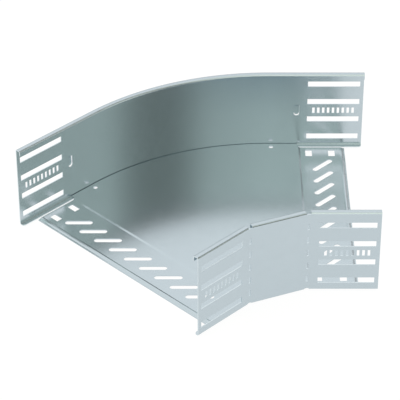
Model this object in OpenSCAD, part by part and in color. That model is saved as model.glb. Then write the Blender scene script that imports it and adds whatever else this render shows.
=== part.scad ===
// Horizontal cable tray bend in galvanised sheet steel: a flat floor plate that lies on the
// foot flanges of a curved outer side wall and a twice-folded inner side wall. Each leg ends
// in slotted joint zones, where the next length of tray is pushed over and bolted.
// X runs across the bend, +Y points to the outside of the turn, +Z is up, and the part is
// symmetric about the YZ plane. Lengths along a leg start where the straight leg leaves the
// turn, and lengths across a leg start at the centre of the turn.

/* [Tray] */
// Width over the outer faces of the two side walls
tray_w = 295; // [200:1:600]
// Height of the side walls, from the underside of the foot to the top of the rim
side_h = 105; // [80:0.5:160]
// Thickness of the sheet steel
sheet_t = 1.2; // [0.8:0.05:1.8]
// Angle that the tray turns through
bend_angle = 45; // [30:1:90]
// Distance from the centre of the turn to the outer face of the inner wall's legs
inner_gap = 4.2; // [2:0.1:40]
// Length of each straight leg of the walls
leg_len = 115.8; // [108:0.1:160]

/* [Wall section] */
// Outside radius of every fold in the walls
bend_r = 2; // [1.9:0.05:3]
// Width of the inward rim at the top of a wall
rim_w = 7.5; // [6.5:0.1:14]
// Depth of the rim's down-turned lip
rim_lip = 6.5; // [4:0.1:9]
// Width of the inward foot flange at the bottom of a wall
foot_w = 6.3; // [5:0.1:14]
// Corner radius at the free ends of the foot flange
foot_corner_r = 3; // [1:0.1:4]

/* [Wall slots] */
// Length of the long joint slots
slot_len = 63.3; // [40:0.1:66]
// Height of the long joint slots
slot_h = 7.4; // [5:0.1:10]
// Distance from the end of the wall to the long slots
slot_end = 4.5; // [3:0.1:8]
// Height of the lowest long slot's centre line above the floor
slot_z = 10.8; // [8:0.1:16]
// Pitch of the perforation
hole_pitch = 25; // [20:0.1:35]
// Width of the short slots
mini_w = 3; // [1.5:0.1:4]
// Height of the short slots
mini_h = 8; // [4:0.1:12]
// Pitch of the short slots
mini_pitch = 6; // [5:0.1:12]
// Plain length kept at each end of the row of short slots
mini_margin = 7; // [3:0.1:12]

/* [Lance] */
// Width of the lanced hook in the outer wall
lance_w = 6.5; // [4:0.1:8]
// Height of the hook's window, down to its round end
lance_h = 15.4; // [9:0.1:18]
// Distance that the hook is pressed out
lance_out = 2.2; // [2.1:0.05:3]
// Height over which the hook bends out below its root
lance_jog = 3; // [1:0.1:4]
// Clearance of the cut on both sides of the hook
lance_slit = 0.05; // [0.05:0.05:0.5]
// Gap between the hook's round end and the wall
lance_gap = 0.8; // [0.2:0.05:3]
// Distance from the floor's crease back to the middle of the hook
lance_back = 3.2; // [0:0.1:10]

/* [Inner wall folds] */
// Distance along a leg to the fold of the inner wall
fold_s = 36; // [26:0.1:38]
// Gap in the rim and the foot at a fold
fold_notch = 5; // [3:0.1:10]
// Width of the slots that weaken a fold
fold_slot_w = 2.6; // [1.5:0.1:4]
// Height of the slots that weaken a fold
fold_slot_h = 8; // [4:0.1:12]
// Pitch of the slots that weaken a fold
fold_slot_pitch = 17.65; // [14:0.05:30]
// Height of the lowest fold slot's centre above the floor
fold_slot_z = 13.1; // [8:0.1:20]

/* [Floor] */
// Distance from the inner wall's fold to the crease of the floor
crease_gap = 2.2; // [1:0.1:4]
// Length over which the floor steps down by one sheet at the crease
joggle_len = 2; // [1:0.1:4]
// Length of the joint strip, from the crease to its end
strip_len = 56.6; // [52:0.1:66]
// Gap between the joint strip and the foot flanges
strip_gap = 2.3; // [0.4:0.1:4]
// Length of the lead-in lip at the end of the strip
lip_len = 5; // [3:0.1:8]
// Drop of the lead-in lip
lip_drop = 1.3; // [0.5:0.1:3]
// Diameter of the round holes beside the outer wall
floor_hole_d = 5.4; // [4:0.1:8]
// Distance of those holes along the leg
floor_hole_s = 4.5; // [0:0.1:12]
// Distance of those holes from the outer face of the outer wall
floor_hole_u = 9.1; // [6.5:0.1:14]

/* [Joint strip holes] */
// Length of the diagonal slots, end to end
diag_len = 32.5; // [20:0.1:36]
// Width of the diagonal slots
diag_w = 7; // [4:0.1:9]
// Distance from the crease to the middle of the diagonal slots
diag_s = 27.9; // [25:0.1:30]
// Plain width kept between the row of diagonal slots and the edge of the strip
diag_margin = 38; // [36:0.1:60]
// Length of the rectangular holes along the leg
tab_len = 8; // [4:0.1:10]
// Width of the rectangular holes across the leg
tab_w = 13.4; // [6:0.1:15]
// Distance from the crease to the middle of the first rectangular hole
tab_s = 12.2; // [10:0.1:14]
// Distance between the two rectangular holes along the leg
tab_pitch = 28; // [20:0.1:32]
// Distance from the edge of the strip to the middle of the rectangular holes
tab_edge = 12.4; // [10:0.1:15]

/* [Hidden] */
$fn = 96;
half_turn = bend_angle / 2;
mitre = half_turn / 2;
inner_r = bend_r - sheet_t;
// levels: the tip of the lead-in lip stands at zero
wall_z = lip_drop;
floor_z = wall_z + 2 * sheet_t;
wall_top = wall_z + side_h;
// distances across a leg
out_r = inner_gap + tray_w;
mid_d = inner_gap + tray_w / 2;
floor_d0 = inner_gap + bend_r;
floor_d1 = out_r - bend_r;
strip_d0 = inner_gap + foot_w + strip_gap;
strip_d1 = out_r - foot_w - strip_gap;
// distances along a leg
crease_s = fold_s + crease_gap;
strip_end = crease_s + strip_len;
slot_s = leg_len - slot_end - slot_len / 2;
// counts that follow from the sizes
slot_top_room = wall_top - rim_lip - slot_h / 2 - floor_z - slot_z;
slot_rows = floor(slot_top_room / hole_pitch) + 1;
mini_count = floor((slot_len - 2 * mini_margin) / mini_pitch) + 1;
fold_top_room = wall_top - bend_r - fold_slot_h - floor_z - fold_slot_z;
fold_slots = floor(fold_top_room / fold_slot_pitch) + 1;
diag_count = floor((strip_d1 - strip_d0 - 2 * diag_margin) / hole_pitch) + 1;
mini_z = floor_z + slot_z + 1.5 * hole_pitch;
diag_turn = 45;
// room that every cutter has beyond the sheet, and a length beyond the whole part
over = 5;
reach = 2 * (out_r + leg_len);

// plan position of a point s along and d across the right-hand leg
function leg_xy(s, d) = [s * cos(half_turn) + d * sin(half_turn),
                         d * cos(half_turn) - s * sin(half_turn)];
// the same point of the left-hand leg
function flip(p) = [-p[0], p[1]];

fold_xy = leg_xy(fold_s, inner_gap);
back_y = leg_xy(leg_len, inner_gap)[1];
mid_y = (out_r + back_y) / 2;

// point of the inner fold line at the depth u into the tray
function fold_in(u) = fold_xy + u * [tan(mitre), 1];

// lowest distance across a leg that its floor is drawn from, before the inside is cut away
floor_low = fold_in(bend_r)[1] / cos(half_turn) - over;

// puts the origin below the middle of the part's box
module centred() {
    translate([0, -mid_y, 0]) children();
}

// a shape in leg lengths, set on the right-hand leg
module on_leg() {
    rotate([0, 0, -half_turn]) children();
}

// the half of a shape on the right of the YZ plane
module right_half() {
    intersection() {
        translate([0, -reach, -reach]) cube(2 * reach);
        children();
    }
}

// a shape's right-hand half and its mirror image
module mirrored() {
    right_half() children();
    mirror([1, 0, 0]) right_half() children();
}

// a section carried along +X, with its x across the leg and its y upwards
module along(length) {
    rotate([90, 0, 90]) linear_extrude(length) children();
}

// quarter ring of a fold, with quadrant 0 at +x +y and counting on anticlockwise
module fold_ring(x, y, quadrant) {
    translate([x, y]) intersection() {
        difference() {
            circle(r = bend_r);
            circle(r = inner_r);
        }
        rotate(90 * quadrant) square(bend_r);
    }
}

// rim of a wall, measured inwards from the wall's outer face and up from its foot
module rim_section() {
    fold_ring(bend_r, side_h - bend_r, 1);
    translate([bend_r, side_h - sheet_t]) square([rim_w - 2 * bend_r, sheet_t]);
    fold_ring(rim_w - bend_r, side_h - bend_r, 0);
    translate([rim_w - sheet_t, side_h - rim_lip]) square([sheet_t, rim_lip - bend_r]);
}

module foot_section() {
    fold_ring(bend_r, bend_r, 2);
    translate([bend_r, 0]) square([foot_w - bend_r, sheet_t]);
}

module web_section() {
    translate([0, bend_r]) square([sheet_t, side_h - 2 * bend_r]);
}

module wall_section() {
    web_section();
    rim_section();
    foot_section();
}

// the outer wall's section, set at its distance from the centre of the turn
module outer_section() {
    translate([out_r, wall_z]) mirror([1, 0]) children();
}

// long and short joint slots of one leg, cut through a wall at the distance d
module joint_slots(d) {
    for (row = [0 : slot_rows - 1])
        translate([slot_s, d, floor_z + slot_z + row * hole_pitch])
            cube([slot_len, 2 * over, slot_h], center = true);
    if (slot_rows > 2)
        for (k = [0 : mini_count - 1])
            translate([slot_s + (k - (mini_count - 1) / 2) * mini_pitch, d, mini_z])
                cube([mini_w, 2 * over, mini_h], center = true);
}

// what is trimmed off the corner of a foot flange to leave it rounded, towards +X +Y
module corner_trim() {
    difference() {
        translate([-foot_corner_r, -foot_corner_r, 0])
            cube([foot_corner_r + over, foot_corner_r + over, 2 * bend_r]);
        translate([-foot_corner_r, -foot_corner_r, -over])
            cylinder(r = foot_corner_r, h = 2 * bend_r + 2 * over);
    }
}

// upright outline of the hook or its window, from the root down to the round end
module lance_outline(width, height) {
    translate([-width / 2, width / 2 - height]) square([width, height - width / 2]);
    translate([0, width / 2 - height]) circle(d = width);
}

// an outline drawn about the hook's root, carried outwards through the wall
module through_wall() {
    translate([crease_s - lance_back, out_r + over, mini_z + lance_h / 2])
        rotate([90, 0, 0]) linear_extrude(2 * over) children();
}

// the hook bends out from its root in the wall, which it overlaps by one sheet, and hangs free
module lance_hook() {
    intersection() {
        through_wall() {
            lance_outline(lance_w, lance_h - lance_gap);
            translate([-lance_w / 2, -lance_jog]) square([lance_w, lance_jog + over]);
        }
        translate([crease_s - lance_back - lance_w, out_r, mini_z + lance_h / 2]) along(2 * lance_w)
            polygon([[0, sheet_t], [0, 0], [lance_out, -lance_jog], [lance_out, -lance_h],
                     [lance_out - sheet_t, -lance_h], [lance_out - sheet_t, -lance_jog],
                     [-sheet_t, 0], [-sheet_t, sheet_t]]);
    }
}

// a section carried round the turn, from the start of the leg
module round_turn() {
    rotate([0, 0, 90]) rotate_extrude(angle = bend_angle, $fn = 360) children();
}

// curved outer side wall with its two straight joint legs
module outer_wall() {
    color("#8d9ea1") centred() mirrored() on_leg() {
        difference() {
            union() {
                along(leg_len) outer_section() wall_section();
                round_turn() outer_section() wall_section();
            }
            joint_slots(out_r);
            through_wall() lance_outline(lance_w + 2 * lance_slit, lance_h);
            translate([leg_len, out_r - foot_w, wall_z]) mirror([0, 1, 0]) corner_trim();
        }
        lance_hook();
    }
}

// plan of the inner wall's web: leg, middle facet and leg, folded at two mitres
module inner_web_plan() {
    polygon([leg_xy(leg_len, inner_gap), fold_xy, flip(fold_xy), flip(leg_xy(leg_len, inner_gap)),
             flip(leg_xy(leg_len, inner_gap + sheet_t)), flip(fold_in(sheet_t)),
             fold_in(sheet_t), leg_xy(leg_len, inner_gap + sheet_t)]);
}

// slots on the fold line of the right-hand leg
module fold_cuts() {
    for (k = [0 : fold_slots - 1])
        translate([fold_xy[0], fold_xy[1], floor_z + fold_slot_z + k * fold_slot_pitch])
            rotate([0, 0, -mitre])
                cube([fold_slot_w, 2 * over, fold_slot_h], center = true);
}

// inner side wall, folded twice from one strip of sheet
module inner_wall() {
    leg_start = fold_s + fold_notch / 2;
    middle = fold_xy[0] - fold_notch / 2;
    color("#bac8ce") centred() mirrored() difference() {
        union() {
            translate([0, 0, wall_z + bend_r]) linear_extrude(side_h - 2 * bend_r) inner_web_plan();
            on_leg() translate([leg_start, inner_gap, wall_z]) along(leg_len - leg_start) wall_section();
            translate([-over, fold_xy[1], wall_z]) along(middle + over) wall_section();
        }
        on_leg() {
            joint_slots(inner_gap);
            translate([leg_len, inner_gap + foot_w, wall_z]) corner_trim();
        }
        fold_cuts();
    }
}

// side view of a leg's floor: flat to the crease, a step, the joint strip and its lead-in lip
module floor_section() {
    top = [[0, floor_z], [crease_s, floor_z], [crease_s + joggle_len, floor_z - sheet_t],
           [strip_end - lip_len, floor_z - sheet_t], [strip_end, floor_z - sheet_t - lip_drop]];
    under = [for (k = [4 : -1 : 0]) top[k] - [0, sheet_t]];
    polygon(concat(top, under));
}

module leg_floor() {
    translate([0, floor_d1, 0]) rotate([90, 0, 0]) linear_extrude(floor_d1 - floor_low) floor_section();
}

// the floor's flat sector between the two legs
module turn_floor() {
    round_turn() translate([0, floor_z - sheet_t]) square([floor_d1, sheet_t]);
}

// plan of what the floor leaves free on the inside of the turn, at the inner wall
module inside_plan() {
    end = leg_xy(leg_len, floor_d0);
    low = leg_xy(leg_len, floor_low)[1];
    polygon([fold_in(bend_r), end, [end[0], low], [-end[0], low], flip(end), flip(fold_in(bend_r))]);
}

// plan of what is cut beside a joint strip, with a slanted relief towards the outer wall
module strip_side_plan() {
    past = strip_end + over;
    relief = [-crease_gap, floor_d1 - strip_d1];
    polygon([[crease_s, strip_d0], [past, strip_d0], [past, floor_low - over], [crease_s, floor_low - over]]);
    polygon([[crease_s, strip_d1], [past, strip_d1], [past, strip_d1 + 2 * relief[1]],
             [crease_s, strip_d1] + 2 * relief]);
}

// round-ended slot lying along x
module round_slot(length, width) {
    square([length - width, width], center = true);
    translate([(length - width) / 2, 0]) circle(d = width);
    translate([-(length - width) / 2, 0]) circle(d = width);
}

// every hole of one joint strip
module strip_holes() {
    for (k = [0 : diag_count - 1])
        translate([crease_s + diag_s, mid_d + (k - (diag_count - 1) / 2) * hole_pitch])
            rotate(diag_turn) round_slot(diag_len, diag_w);
    for (s = [tab_s, tab_s + tab_pitch], d = [strip_d0 + tab_edge, strip_d1 - tab_edge])
        translate([crease_s + s, d]) square([tab_len, tab_w], center = true);
}

// a plan carried up through the whole floor
module through_floor() {
    translate([0, 0, -over]) linear_extrude(floor_z + 2 * over) children();
}

// floor with a stepped, perforated joint strip at each end
module floor_plate() {
    color("#a9b8bd") centred() mirrored() difference() {
        on_leg() {
            turn_floor();
            leg_floor();
        }
        through_floor() inside_plan();
        on_leg() {
            through_floor() strip_side_plan();
            through_floor() strip_holes();
            translate([floor_hole_s, out_r - floor_hole_u, -over])
                cylinder(d = floor_hole_d, h = floor_z + 2 * over);
        }
    }
}

floor_plate();
outer_wall();
inner_wall();
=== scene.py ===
"""Looks of a horizontal cable tray bend, folded from galvanised sheet steel.

The floor plate keeps its solid and gets its finish. The two side walls are drawn again as
folded sheets: a profile, the section of the wall, is carried along a path, the wall's line in
plan, and the cells of the openings are left out. Sizes are in millimetres in the part's own
frame, and meshes are in metres.
"""
import math

import bpy
import numpy as np
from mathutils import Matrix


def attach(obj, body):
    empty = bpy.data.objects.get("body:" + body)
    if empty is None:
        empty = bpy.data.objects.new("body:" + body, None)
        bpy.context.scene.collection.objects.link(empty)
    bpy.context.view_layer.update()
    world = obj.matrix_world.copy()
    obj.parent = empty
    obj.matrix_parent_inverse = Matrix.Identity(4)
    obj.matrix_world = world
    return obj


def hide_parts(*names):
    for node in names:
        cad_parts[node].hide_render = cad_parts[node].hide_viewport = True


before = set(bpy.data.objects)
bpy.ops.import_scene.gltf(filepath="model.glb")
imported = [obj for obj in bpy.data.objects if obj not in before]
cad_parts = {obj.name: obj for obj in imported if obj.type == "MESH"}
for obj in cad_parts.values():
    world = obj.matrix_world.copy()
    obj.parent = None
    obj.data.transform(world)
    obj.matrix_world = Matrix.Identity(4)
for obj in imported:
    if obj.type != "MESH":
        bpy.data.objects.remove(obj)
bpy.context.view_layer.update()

MM = 0.001

# the tray: its turn, its straight legs, and the inner wall's distance from the centre of the turn
TRAY_W = 295.0
SIDE_H = 105.0
SHEET_T = 1.2
HALF_TURN = math.radians(22.5)
INNER_GAP = 4.2
LEG_LEN = 115.8
# the walls' section
BEND_R = 2.0
RIM_W = 7.5
RIM_LIP = 6.5
FOOT_W = 6.3
FOOT_CORNER_R = 3.0
# the joint slots of the legs, long ones in rows and a row of short ones
SLOT_LEN = 63.3
SLOT_H = 7.4
SLOT_END = 4.5
SLOT_Z = 10.8
SLOT_ROWS = 4
HOLE_PITCH = 25.0
MINI_W = 3.0
MINI_H = 8.0
MINI_PITCH = 6.0
MINI_COUNT = 9
# the lanced hook of the outer wall, in its window
LANCE_W = 6.5
LANCE_H = 15.4
LANCE_OUT = 2.2
LANCE_JOG = 3.0
LANCE_SLIT = 0.05
LANCE_GAP = 0.8
LANCE_BACK = 3.2
# the folds of the inner wall, and the floor's crease beyond them
FOLD_S = 36.0
FOLD_R = 1.5
FOLD_NOTCH = 5.0
FOLD_SLOT_W = 2.6
FOLD_SLOT_H = 8.0
FOLD_SLOT_PITCH = 17.65
FOLD_SLOT_Z = 13.1
FOLD_SLOTS = 5
CREASE_GAP = 2.2
# the joint strips and their lead-in lip
STRIP_LEN = 56.6
LIP_LEN = 5.0
LIP_DROP = 1.3
# the coined line before the lip: its width, the shares of it where it starts and ends to fade, its slope
COIN_W = 1.4
COIN_CORE = 0.3
COIN_FADE = 0.6
COIN_LEAN = 0.3
# the steep middle of the lip: where it starts and ends, its added slope, and the length of each change
STEEP_FROM = 1.3
STEEP_TO = 3.4
STEEP_LEAN = 1.2
STEEP_EASE = 0.6

# worked out from those
WALL_Z = LIP_DROP
FLOOR_Z = WALL_Z + 2 * SHEET_T
OUT_R = INNER_GAP + TRAY_W
# the outer wall is drawn this much inside its solid, so that no point of the curve leaves the box
INSET = 0.05
WALL_R = OUT_R - INSET
STRIP_END = FOLD_S + CREASE_GAP + STRIP_LEN
SLOT_S = LEG_LEN - SLOT_END - SLOT_LEN / 2
SLOT_ROW_Z = FLOOR_Z + SLOT_Z + HOLE_PITCH * np.arange(SLOT_ROWS)
MINI_Z = FLOOR_Z + SLOT_Z + HOLE_PITCH * (SLOT_ROWS - 1) / 2
MINI_S = SLOT_S + MINI_PITCH * (np.arange(MINI_COUNT) - (MINI_COUNT - 1) / 2)
LANCE_S = FOLD_S + CREASE_GAP - LANCE_BACK
LANCE_TOP = MINI_Z + LANCE_H / 2
FOLD_SLOT_ROW_Z = FLOOR_Z + FOLD_SLOT_Z + FOLD_SLOT_PITCH * np.arange(FOLD_SLOTS)

# how finely the sheets are drawn: steps of a fold, of half the turn and of a foot's round corner
FOLD_STEPS = 8
TURN_STEPS = 60
CORNER_STEPS = 5
# flat length kept beside a fold, so that its shading stays on the fold
FLAT_EDGE = 0.4
# edges that turn by more than this are shaded as sharp
SHARP_ANGLE = math.radians(35)
# share of a round end's radius that is left flat, so that no face shrinks to nothing
FLAT_SHARE = 0.05
# sizes closer than this are the same
TINY = 1e-6
DECIMALS = 6


def leg_point(s, d):
    """Plan position of the right-hand leg's point s along and d across: a turn by half the bend."""
    return np.stack([s * math.cos(HALF_TURN) + d * math.sin(HALF_TURN),
                     d * math.cos(HALF_TURN) - s * math.sin(HALF_TURN)], axis=-1)


FOLD_XY = leg_point(FOLD_S, INNER_GAP)
MID_Y = (OUT_R + leg_point(LEG_LEN, INNER_GAP)[1]) / 2


def edges_of(centres, width):
    """Both edges of openings of one width, as one flat array: centre less and plus half the width."""
    return np.concatenate([np.atleast_1d(centres) - width / 2, np.atleast_1d(centres) + width / 2])


def inside(values, centres, width):
    """Whether each value lies in one of the openings of that width."""
    return (np.abs(values[:, None] - np.atleast_1d(centres)[None, :]) < width / 2).any(axis=1)


def middles(values):
    """The middle of each stretch between two neighbouring values."""
    return (values[1:] + values[:-1]) / 2


JOINT_LINES = np.concatenate([edges_of(SLOT_ROW_Z, SLOT_H), edges_of(MINI_Z, MINI_H)])


def wall_section(web_lines):
    """The wall's section as two faces of one sheet: foot, fold, web, fold, rim, fold and lip.

    The outer face runs along straight stretches and quarter circles of the fold radius, and the
    inner face is the same line one sheet further in, on circles of the same centres. Returns
    (outer points, inner points) as u, the depth into the tray, and z, and whether each stretch
    between two points belongs to the web.
    """
    quarter = np.linspace(0, math.pi / 2, FOLD_STEPS + 1)
    one = np.ones_like(quarter)
    top = SIDE_H - BEND_R
    web = np.unique(np.concatenate([web_lines, [BEND_R + FLAT_EDGE, top - FLAT_EDGE]]))
    foot_u = np.array([FOOT_W, FOOT_W - FOOT_CORNER_R / 2, FOOT_W - FOOT_CORNER_R, BEND_R + FLAT_EDGE])
    rim_u = np.array([BEND_R + FLAT_EDGE, RIM_W - BEND_R - FLAT_EDGE])
    lip_z = np.array([top - FLAT_EDGE, SIDE_H - RIM_LIP])
    # every stretch: its points or its circle's centre (u, z), and the outward direction at each point
    stretches = [
        (foot_u, 0 * foot_u, 0 * foot_u, 0 * foot_u - 1),
        (BEND_R * one, BEND_R * one, -np.sin(quarter), -np.cos(quarter)),
        (0 * web, web, 0 * web - 1, 0 * web),
        (BEND_R * one, top * one, -np.cos(quarter), np.sin(quarter)),
        (rim_u, 0 * rim_u + SIDE_H, 0 * rim_u, 0 * rim_u + 1),
        ((RIM_W - BEND_R) * one, top * one, np.sin(quarter), np.cos(quarter)),
        (0 * lip_z + RIM_W, lip_z, 0 * lip_z + 1, 0 * lip_z),
    ]
    web_at, folds_at = 2, (1, 3, 5)
    outer, inner, is_web = [], [], []
    for k, (u, z, out_u, out_z) in enumerate(stretches):
        line, out = np.stack([u, z], axis=-1), np.stack([out_u, out_z], axis=-1)
        reach = BEND_R if k in folds_at else 0.0
        outer.append(line + reach * out)
        inner.append(line + (reach - SHEET_T) * out)
        is_web.append(np.full(len(line), k == web_at))
    outer, inner, is_web = np.concatenate(outer), np.concatenate(inner), np.concatenate(is_web)
    return outer, inner, is_web[:-1] | is_web[1:]


def sheet_mesh(name, faces_out, faces_in, keep):
    """A closed folded sheet from its two faces, each a grid of points, where keep marks the cells.

    Kept cells give one quad on each face, and every grid line between a kept and a left-out cell
    gives one quad across the thickness. Those cut edges take the second material.
    """
    rows, cols = faces_out.shape[:2]
    points = np.concatenate([faces_out.reshape(-1, 3), faces_in.reshape(-1, 3)]) * MM
    index = np.arange(rows * cols).reshape(rows, cols)
    below = index + rows * cols
    i, j = np.nonzero(keep)
    outer_face = np.stack([index[i, j], index[i, j + 1], index[i + 1, j + 1], index[i + 1, j]], axis=1)
    inner_face = np.stack([below[i, j], below[i + 1, j], below[i + 1, j + 1], below[i, j + 1]], axis=1)
    padded = np.pad(keep, 1).astype(int)
    across = padded[1:, 1:-1] - padded[:-1, 1:-1]
    along = padded[1:-1, 1:] - padded[1:-1, :-1]
    quads = [outer_face, inner_face]
    for sign in (1, -1):
        a, b = np.nonzero(across == sign)
        quad = np.stack([index[a, b], below[a, b], below[a, b + 1], index[a, b + 1]], axis=1)
        quads.append(quad[:, ::sign])
    for sign in (1, -1):
        a, b = np.nonzero(along == sign)
        quad = np.stack([index[a, b], index[a + 1, b], below[a + 1, b], below[a, b]], axis=1)
        quads.append(quad[:, ::sign])
    quads = np.concatenate(quads)
    used = np.unique(quads)
    mesh = bpy.data.meshes.new(name)
    mesh.from_pydata(points[used], [], np.searchsorted(used, quads))
    cut_edge = np.arange(len(quads)) >= len(outer_face) + len(inner_face)
    mesh.polygons.foreach_set("material_index", cut_edge.astype(np.int32))
    mesh.shade_smooth()
    mesh.set_sharp_from_angle(angle=SHARP_ANGLE)
    piece = bpy.data.objects.new(name, mesh)
    bpy.context.scene.collection.objects.link(piece)
    return piece


def carried(path, inward, section):
    """A section carried along a path in plan: point plus depth times the inward direction, at its height."""
    plan = path[:, None, :] + section[None, :, :1] * inward[:, None, :]
    height = np.broadcast_to(WALL_Z + section[None, :, 1:], (len(path), len(section), 1))
    return np.concatenate([plan - [0, MID_Y], height], axis=2)


def rounded_foot(grid, section, leg_s, along):
    """Pulls the free corners of the foot in to a quarter circle.

    Within one corner radius of the leg's end, the distance along the leg shrinks by the share that
    the circle takes at that depth of the foot.
    """
    depth = np.clip(section[:, 0] - (FOOT_W - FOOT_CORNER_R), 0, None) * (section[:, 1] < 2 * SHEET_T)
    inset = FOOT_CORNER_R - np.sqrt(np.clip(FOOT_CORNER_R ** 2 - depth ** 2, 0, None))
    share = np.clip((leg_s - (LEG_LEN - FOOT_CORNER_R)) / FOOT_CORNER_R, 0, 1)
    pull = share[:, None] * inset[None, :]
    grid[:, :, :2] -= pull[:, :, None] * along[:, None, :]


def mirrored_path(half):
    """A path's right-hand half, from the middle outwards, with its mirror image put before it."""
    left = {key: value[:0:-1].copy() for key, value in half.items()}
    for key in ("path", "inward", "along"):
        left[key][:, 0] *= -1
    return {key: np.concatenate([left[key], half[key]]) for key in half}


def leg_stations(extra, start):
    """Distances along a leg at which the sheet has grid lines: its slots, its end and the extras."""
    corner = LEG_LEN - FOOT_CORNER_R * np.linspace(1, 0, CORNER_STEPS + 1)
    lines = np.concatenate([extra, edges_of(SLOT_S, SLOT_LEN), edges_of(MINI_S, MINI_W), corner])
    return np.unique(np.round(lines[lines > start + TINY], DECIMALS))


def joint_cells(leg_s, height, web):
    """Cells of the long and the short joint slots, by leg distance and height."""
    long_slots = inside(leg_s, SLOT_S, SLOT_LEN)[:, None] & inside(height, SLOT_ROW_Z, SLOT_H)[None, :]
    short_slots = inside(leg_s, MINI_S, MINI_W)[:, None] & inside(height, MINI_Z, MINI_H)[None, :]
    return (long_slots | short_slots) & web[None, :]


def round_end(level, low, width):
    """Half width of a round-ended outline over its half width higher up: a circle's chord at each level."""
    rise = np.clip((level - low) / (width / 2), FLAT_SHARE, 1)
    return np.sqrt(1 - (1 - rise) ** 2)


def outer_wall_sheet():
    """The curved wall: a circle about the centre of the turn that runs on into a straight leg.

    The hook hangs in a window of the leg. Its points move out by a ramp below the root that ends at
    the full distance. The grid lines of the hook and of the window draw together towards the hook's
    middle line as a circle does, so that both end round, and the lines beside them follow less and less.
    """
    window_w = LANCE_W + 2 * LANCE_SLIT
    hook_lines = np.concatenate([edges_of(LANCE_S, LANCE_W), edges_of(LANCE_S, window_w)])
    legs = leg_stations(hook_lines, 0)
    turn = np.linspace(0, HALF_TURN, TURN_STEPS + 1)
    round_out = np.stack([np.sin(turn), np.cos(turn)], axis=-1)
    leg_out = np.tile(round_out[-1], (len(legs), 1))
    leg_along = np.tile(leg_point(1, 0), (len(legs), 1))
    half = {
        "path": np.concatenate([WALL_R * round_out, leg_point(legs, WALL_R)]),
        "inward": -np.concatenate([round_out, leg_out]),
        "along": np.concatenate([0 * round_out, leg_along]),
        "leg_s": np.concatenate([turn * OUT_R - HALF_TURN * OUT_R, legs]),
    }
    line = mirrored_path(half)
    low = LANCE_TOP - LANCE_H
    hook_low = low + LANCE_GAP
    chord = 1 - np.cos(np.linspace(0, math.pi / 2, FOLD_STEPS + 1))
    hook_z = np.concatenate([[LANCE_TOP, LANCE_TOP - LANCE_JOG], low + window_w / 2 * chord,
                             hook_low + LANCE_W / 2 * chord])
    outer, inner, web = wall_section(np.concatenate([JOINT_LINES, hook_z]) - WALL_Z)
    leg_s, height = middles(line["leg_s"]), middles(outer[:, 1]) + WALL_Z
    window = inside(leg_s, LANCE_S, window_w)[:, None] & ((height < LANCE_TOP) & (height > low))[None, :]
    hook = inside(leg_s, LANCE_S, LANCE_W)[:, None] & (height > hook_low)[None, :]
    keep = ~joint_cells(leg_s, height, web) & ~(window & ~hook & web[None, :])
    level, off = outer[:, 1] + WALL_Z, line["leg_s"] - LANCE_S
    on_hook = np.abs(off) < LANCE_W / 2 + TINY
    hangs = (level > hook_low - TINY) & (level < LANCE_TOP)
    push = on_hook[:, None] * (LANCE_OUT * np.clip((LANCE_TOP - level) / LANCE_JOG, 0, 1) * hangs)[None, :]
    near = np.clip(1 - (np.abs(off) - window_w / 2) / LANCE_W, 0, 1)
    window_share = np.where((level > low - TINY) & (level < LANCE_TOP), round_end(level, low, window_w), 1)
    hook_share = np.where(hangs, round_end(level, hook_low, LANCE_W), window_share)
    share = np.where(on_hook[:, None], hook_share[None, :], window_share[None, :])
    shift = (near * off)[:, None] * (share - 1)
    grids = []
    for section in (outer, inner):
        grid = carried(line["path"], line["inward"], section)
        grid[:, :, :2] -= push[:, :, None] * line["inward"][:, None, :]
        grid[:, :, :2] += shift[:, :, None] * line["along"][:, None, :]
        rounded_foot(grid, section, line["leg_s"], line["along"])
        grids.append(grid)
    return sheet_mesh("outer_wall_sheet", grids[0], grids[1], keep)


def inner_wall_sheet():
    """The inner wall: three flats in plan, joined by two tight round folds with a slotted, notched line."""
    mitre = HALF_TURN / 2
    bend = np.linspace(0, HALF_TURN, FOLD_STEPS + 1)
    bend_out = np.stack([np.sin(bend), np.cos(bend)], axis=-1)
    centre = FOLD_XY - FOLD_R / math.cos(mitre) * np.array([math.sin(mitre), math.cos(mitre)])
    tangent = FOLD_R * math.tan(mitre)
    edge = np.array([FOLD_SLOT_W / 2, FOLD_NOTCH / 2])
    flat = np.concatenate([[0], FOLD_XY[0] - edge[::-1]])
    legs = leg_stations(FOLD_S + edge, FOLD_S + tangent)
    half = {
        "path": np.concatenate([np.stack([flat, 0 * flat + FOLD_XY[1]], axis=-1),
                                centre + FOLD_R * bend_out, leg_point(legs, INNER_GAP)]),
        "inward": np.concatenate([np.tile([0.0, 1.0], (len(flat), 1)), bend_out,
                                  np.tile(bend_out[-1], (len(legs), 1))]),
        "along": np.concatenate([np.zeros((len(flat) + len(bend), 2)),
                                 np.tile(leg_point(1, 0), (len(legs), 1))]),
        "leg_s": np.concatenate([FOLD_S + flat - FOLD_XY[0],
                                 np.linspace(FOLD_S - tangent, FOLD_S + tangent, len(bend)), legs]),
    }
    line = mirrored_path(half)
    fold_lines = edges_of(FOLD_SLOT_ROW_Z, FOLD_SLOT_H)
    outer, inner, web = wall_section(np.concatenate([JOINT_LINES, fold_lines]) - WALL_Z)
    leg_s, height = middles(line["leg_s"]), middles(outer[:, 1]) + WALL_Z
    notch = inside(leg_s, FOLD_S, FOLD_NOTCH)[:, None] & ~web[None, :]
    fold_slot = inside(leg_s, FOLD_S, FOLD_SLOT_W)[:, None] & inside(height, FOLD_SLOT_ROW_Z, FOLD_SLOT_H)
    keep = ~joint_cells(leg_s, height, web) & ~notch & ~(fold_slot & web[None, :])
    grids = []
    for section in (outer, inner):
        grid = carried(line["path"], line["inward"], section)
        rounded_foot(grid, section, line["leg_s"], line["along"])
        grids.append(grid)
    return sheet_mesh("inner_wall_sheet", grids[0], grids[1], keep)


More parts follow.
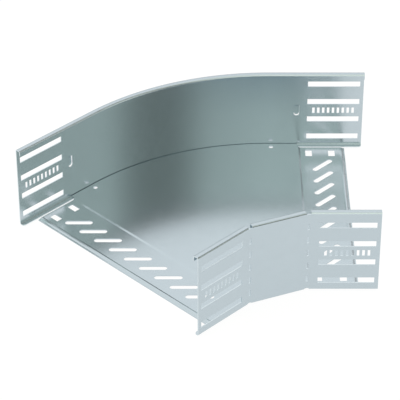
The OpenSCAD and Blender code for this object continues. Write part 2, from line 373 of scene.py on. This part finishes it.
# the sheet's finish: its colour, the size of a zinc crystal, and how much their tone and roughness differ
SHEET_COLOUR = "#becad0"
CRYSTAL = 7.0
CRYSTAL_TONE = 0.006
CRYSTAL_ROUGHNESS = (0.22, 0.24)
# the cut edge's look: its colour, painted lighter than the sheet's as a painted highlight, the size of a
# patch, its darkest tone and its roughness
EDGE_HIGHLIGHT_COLOUR = "#dbe6eb"
EDGE_PATCH = 4.0
EDGE_TONE = 0.9
EDGE_ROUGHNESS = 0.38
# sockets of the Mix node: its share, its two numbers, its two colours and the mixed colour
MIX_SHARE, MIX_NUMBER_A, MIX_NUMBER_B, MIX_COLOUR_A, MIX_COLOUR_B = 0, 2, 3, 6, 7
MIXED_COLOUR = 2


def linear(hex_colour, share=1.0):
    """An sRGB hex value as linear red, green and blue, each times the share, and alpha."""
    srgb = np.array([int(hex_colour[k:k + 2], 16) for k in (1, 3, 5)]) / 255
    value = np.where(srgb <= 0.04045, srgb / 12.92, ((srgb + 0.055) / 1.055) ** 2.4)
    return (*(value * share).tolist(), 1.0)


def add(tree, kind, settings=None, links=None):
    """Adds a node with its settings, by attribute or socket, and links its inputs from other sockets."""
    node = tree.nodes.new(kind)
    for key, value in (settings or {}).items():
        if isinstance(key, str) and hasattr(node, key):
            setattr(node, key, value)
        else:
            node.inputs[key].default_value = value
    for key, source in (links or {}).items():
        tree.links.new(source, node.inputs[key])
    return node


def bare_metal(name):
    """A new metal: its material, its nodes and its shader."""
    material = bpy.data.materials.new(name)
    material.use_nodes = True
    shader = material.node_tree.nodes["Principled BSDF"]
    shader.inputs["Metallic"].default_value = 1.0
    return material, material.node_tree, shader


def galvanised_sheet(name):
    """Galvanised sheet steel, rolled smooth before it was cut and folded.

    The zinc gives a cool grey metal that mirrors its surroundings softly. Its crystals, the
    spangle, are flat and change the shade and the gloss a little from one to the next.
    """
    material, tree, shader = bare_metal(name)
    place = add(tree, "ShaderNodeTexCoord").outputs["Object"]
    spangle = add(tree, "ShaderNodeTexVoronoi", {"Scale": 1 / (CRYSTAL * MM)}, {"Vector": place})
    shade = add(tree, "ShaderNodeSeparateColor", links={"Color": spangle.outputs["Color"]})
    tone = add(tree, "ShaderNodeMix", {
        "data_type": "RGBA", MIX_COLOUR_A: linear(SHEET_COLOUR, 1 - CRYSTAL_TONE),
        MIX_COLOUR_B: linear(SHEET_COLOUR, 1 + CRYSTAL_TONE)}, {MIX_SHARE: shade.outputs["Red"]})
    tree.links.new(tone.outputs[MIXED_COLOUR], shader.inputs["Base Color"])
    smooth, dull = CRYSTAL_ROUGHNESS
    gloss = add(tree, "ShaderNodeMapRange", {"To Min": smooth, "To Max": dull},
                {"Value": shade.outputs["Green"]})
    tree.links.new(gloss.outputs["Result"], shader.inputs["Roughness"])
    return material


def creased_ends(material):
    """Shapes the lead-in lip of each joint strip for the light.

    The distance along the leg is worked out from the place. Just before the lip a coined line leans
    back into the tray, the middle of the lip leans steeply outwards, and its tip is level again.
    """
    tree = material.node_tree
    place = add(tree, "ShaderNodeSeparateXYZ", links={0: add(tree, "ShaderNodeTexCoord").outputs["Object"]})
    side = add(tree, "ShaderNodeMath", {"operation": "SIGN"}, {0: place.outputs["X"]})
    reach = add(tree, "ShaderNodeMath", {"operation": "ABSOLUTE"}, {0: place.outputs["X"]})
    plan = add(tree, "ShaderNodeCombineXYZ", links={0: reach.outputs[0], 1: place.outputs["Y"]})
    along = (math.cos(HALF_TURN), -math.sin(HALF_TURN), 0)
    distance = add(tree, "ShaderNodeVectorMath", {"operation": "DOT_PRODUCT", 1: along},
                   {0: plan.outputs[0]}).outputs["Value"]
    # where the lip starts, as the product above gives it
    start = (STRIP_END - LIP_LEN + MID_Y * math.sin(HALF_TURN)) * MM
    past = add(tree, "ShaderNodeMath", {"operation": "SUBTRACT", 1: start - COIN_W / 2 * MM}, {0: distance})
    past = add(tree, "ShaderNodeMath", {"operation": "ABSOLUTE"}, {0: past.outputs[0]})
    coined = add(tree, "ShaderNodeMapRange", {
        "From Min": COIN_CORE * COIN_W * MM, "From Max": COIN_FADE * COIN_W * MM,
        "To Min": -COIN_LEAN, "To Max": 0}, {"Value": past.outputs[0]})
    lean = coined.outputs[0]
    for bend_at, change in ((STEEP_FROM, STEEP_LEAN), (STEEP_TO, -STEEP_LEAN - LIP_DROP / LIP_LEN)):
        bend = add(tree, "ShaderNodeMapRange", {
            "From Min": start + bend_at * MM, "From Max": start + (bend_at + STEEP_EASE) * MM,
            "To Min": 0, "To Max": change}, {"Value": distance})
        lean = add(tree, "ShaderNodeMath", {"operation": "ADD"}, {0: lean, 1: bend.outputs[0]}).outputs[0]
    mirrored = add(tree, "ShaderNodeCombineXYZ", {1: 1}, {0: side.outputs[0]})
    outward = add(tree, "ShaderNodeVectorMath", {"operation": "MULTIPLY", 1: along}, {0: mirrored.outputs[0]})
    outward = add(tree, "ShaderNodeVectorMath", {"operation": "SCALE"},
                  {0: outward.outputs[0], "Scale": lean})
    facing = add(tree, "ShaderNodeVectorMath", {"operation": "ADD"},
                 {0: add(tree, "ShaderNodeNewGeometry").outputs["Normal"], 1: outward.outputs[0]})
    facing = add(tree, "ShaderNodeVectorMath", {"operation": "NORMALIZE"}, {0: facing.outputs[0]})
    tree.links.new(facing.outputs[0], tree.nodes["Principled BSDF"].inputs["Normal"])
    return material


def sheared_edge(name):
    """The sheared edge of the sheet: bare steel with zinc dragged over it in patches.

    Its colour is painted lighter than the sheet's, a painted highlight, so it shows as a bright line along
    each opening; it mirrors less than the face does.
    """
    material, tree, shader = bare_metal(name)
    shader.inputs["Roughness"].default_value = EDGE_ROUGHNESS
    place = add(tree, "ShaderNodeTexCoord").outputs["Object"]
    drag = add(tree, "ShaderNodeTexNoise", {"Scale": 1 / (EDGE_PATCH * MM)}, {"Vector": place})
    # painted highlight: the edge colour is lighter than the sheet's, so the cut edges show as bright lines;
    # the patches are real
    tone = add(tree, "ShaderNodeMix", {
        "data_type": "RGBA", MIX_COLOUR_A: linear(EDGE_HIGHLIGHT_COLOUR, EDGE_TONE),
        MIX_COLOUR_B: linear(EDGE_HIGHLIGHT_COLOUR)}, {MIX_SHARE: drag.outputs["Fac"]})
    tree.links.new(tone.outputs[MIXED_COLOUR], shader.inputs["Base Color"])
    return material


# the sky's level and the lowest it goes, and the parts that differ: azimuth from the front towards the
# right and elevation of the middle, radius of the core and of the edge, all in degrees, and the change
SKY_LEVEL = 1.12
SKY_LOWEST = 0.1
SKY_ZONES = [
    (31, 33, 0.5, 22.7, -0.79),  # the dark side that gives the outer wall its band
    (0, 38, 6, 20, -0.1),        # a little less light beside it
    (-30, 36, 10, 24, 0.1),      # the bright side, in front on the left
    (19, 9, 8, 17, -1.0),        # low in front on the right, for the folds of the middle flat
    (61, 14, 8, 15, -1.0),       # low on the right, for the folds of the left-hand legs
    (68, 40, 6, 18, 0.06),       # above that a little more light
    (92, 53, 12, 22, -0.95),     # high on the right, for the lip folds of the left-hand leg
    (127, 19, 4, 11, -0.55),     # low at the back on the right, for the crease of the right-hand strip
    (-22, 8, 5, 16, 0.9),        # low in front, for the bright line on the folds of the right-hand legs
    (157, 13, 5, 19, -0.55),     # low at the back, for the far folds of the rims
]
# the sky's colour in front and behind, and the depth of the direction over which it changes
FRONT_SKY = "#f8faed"
BACK_SKY = "#ffffff"
SKY_BLEND = 0.3
# what the camera sees behind the object
BACKDROP = "#ffffff"
BACKDROP_LEVEL = 1.0
# the paper floor: half its side in metres, how bright it looks and the tone that takes the shadow
PAPER_HALF = 12.0
PAPER_LEVEL = 0.93
PAPER_TONE = "#595959"
# the lamp: its power in watts, its side and place in metres and its turn in degrees
LAMP_POWER = 4.0
LAMP_SIDE = 1.5
LAMP_AT = (-0.6, 0.4, 2.0)
LAMP_TURN = (-11, -17, 0)
# the camera: its sensor and lens in millimetres, its place in metres and its turn in degrees
SENSOR_W = 36.0
LENS = 183.0
CAMERA_AT = (-0.7669, -1.7638, 1.3874)
CAMERA_TURN = (55.04, 0, -22.5)


def paper_floor():
    """A sheet of white paper, matt: it looks white, also in the metal, and keeps a faint shadow."""
    mesh = bpy.data.meshes.new("studio_floor")
    corner = np.array([[-1, -1, 0], [1, -1, 0], [1, 1, 0], [-1, 1, 0]]) * PAPER_HALF
    mesh.from_pydata(corner, [], [(0, 1, 2, 3)])
    floor = bpy.data.objects.new("studio_floor", mesh)
    bpy.context.scene.collection.objects.link(floor)
    paper = bpy.data.materials.new("white_paper")
    paper.use_nodes = True
    tree = paper.node_tree
    tree.nodes.clear()
    rays = add(tree, "ShaderNodeLightPath")
    seen = add(tree, "ShaderNodeMath", {"operation": "MAXIMUM"},
               {0: rays.outputs["Is Camera Ray"], 1: rays.outputs["Is Glossy Ray"]})
    seen = add(tree, "ShaderNodeMath", {"operation": "MAXIMUM"},
               {0: seen.outputs[0], 1: rays.outputs["Is Transmission Ray"]})
    strength = add(tree, "ShaderNodeMath", {"operation": "MULTIPLY", 1: PAPER_LEVEL}, {0: seen.outputs[0]})
    glow = add(tree, "ShaderNodeEmission", links={"Strength": strength.outputs[0]})
    matt = add(tree, "ShaderNodeBsdfDiffuse", {"Color": linear(PAPER_TONE)})
    both = add(tree, "ShaderNodeAddShader", links={0: glow.outputs[0], 1: matt.outputs[0]})
    add(tree, "ShaderNodeOutputMaterial", links={"Surface": both.outputs[0]})
    mesh.materials.append(paper)


def sky_level(tree, direction):
    """The sky's level in a direction: the plain level plus each zone's change, smooth towards its edge."""
    level = None
    for azimuth, elevation, core, reach, change in SKY_ZONES:
        around, above = math.radians(azimuth), math.radians(elevation)
        aim = (math.cos(above) * math.sin(around), -math.cos(above) * math.cos(around), math.sin(above))
        near = add(tree, "ShaderNodeVectorMath", {"operation": "DOT_PRODUCT", 1: aim}, {0: direction})
        plain = SKY_LEVEL if level is None else 0.0
        zone = add(tree, "ShaderNodeMapRange", {
            "interpolation_type": "SMOOTHSTEP", "From Min": math.cos(math.radians(reach)),
            "From Max": math.cos(math.radians(core)), "To Min": plain, "To Max": plain + change},
            {"Value": near.outputs["Value"]}).outputs["Result"]
        if level is None:
            level = zone
        else:
            level = add(tree, "ShaderNodeMath", {"operation": "ADD"}, {0: level, 1: zone}).outputs[0]
    return add(tree, "ShaderNodeMath", {"operation": "MAXIMUM", 1: SKY_LOWEST}, {0: level}).outputs[0]


def pale_sky():
    """A pale studio all round, darker in places, which the camera itself sees as plain white."""
    world = bpy.data.worlds.new("studio_world")
    bpy.context.scene.world = world
    world.use_nodes = True
    tree = world.node_tree
    tree.nodes.clear()
    from_camera = add(tree, "ShaderNodeLightPath").outputs["Is Camera Ray"]
    direction = add(tree, "ShaderNodeTexCoord").outputs["Generated"]
    shown = add(tree, "ShaderNodeMix", {"data_type": "FLOAT", MIX_NUMBER_B: BACKDROP_LEVEL},
                {MIX_SHARE: from_camera, MIX_NUMBER_A: sky_level(tree, direction)})
    part = add(tree, "ShaderNodeSeparateXYZ", links={0: direction})
    back = add(tree, "ShaderNodeMapRange", {"From Min": -SKY_BLEND, "From Max": SKY_BLEND},
               {"Value": part.outputs["Y"]})
    tint = add(tree, "ShaderNodeMix", {
        "data_type": "RGBA", MIX_COLOUR_A: linear(FRONT_SKY), MIX_COLOUR_B: linear(BACK_SKY)},
        {MIX_SHARE: back.outputs["Result"]})
    tint = add(tree, "ShaderNodeMix", {"data_type": "RGBA", MIX_COLOUR_B: linear(BACKDROP)},
               {MIX_SHARE: from_camera, MIX_COLOUR_A: tint.outputs[MIXED_COLOUR]})
    sky = add(tree, "ShaderNodeBackground",
              links={"Color": tint.outputs[MIXED_COLOUR], "Strength": shown.outputs[0]})
    add(tree, "ShaderNodeOutputWorld", links={"Surface": sky.outputs[0]})


def soft_lamp():
    """A soft lamp above, for the shadow, which the metal doesn't mirror."""
    lamp = bpy.data.lights.new("softbox", "AREA")
    lamp.energy, lamp.size = LAMP_POWER, LAMP_SIDE
    box = bpy.data.objects.new("softbox", lamp)
    box.location = LAMP_AT
    box.rotation_euler = [math.radians(turn) for turn in LAMP_TURN]
    box.visible_glossy = False
    bpy.context.scene.collection.objects.link(box)


def photo_camera():
    """The photo's view: a long lens from the front left, 35 degrees above the floor."""
    lens = bpy.data.cameras.new("camera")
    lens.sensor_width, lens.lens = SENSOR_W, LENS
    camera = bpy.data.objects.new("camera", lens)
    camera.location = CAMERA_AT
    camera.rotation_euler = [math.radians(turn) for turn in CAMERA_TURN]
    bpy.context.scene.collection.objects.link(camera)
    bpy.context.scene.camera = camera


photo_camera()
paper_floor()
pale_sky()
soft_lamp()
bpy.context.scene.view_settings.view_transform = "Standard"

sheet_finish = galvanised_sheet("galvanised_sheet_steel")
floor_finish = creased_ends(galvanised_sheet("galvanised_floor_sheet"))
# the cut edges' material, with its painted highlight
edge_material_with_highlight = sheared_edge("sheared_sheet_edge")
for piece, node in ((outer_wall_sheet(), "outer_wall"), (inner_wall_sheet(), "inner_wall")):
    piece.data.materials.append(sheet_finish)
    piece.data.materials.append(edge_material_with_highlight)
    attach(piece, "root")
    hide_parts(node)
floor_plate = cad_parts["floor_plate"]
floor_plate.data.materials.clear()
floor_plate.data.materials.append(floor_finish)
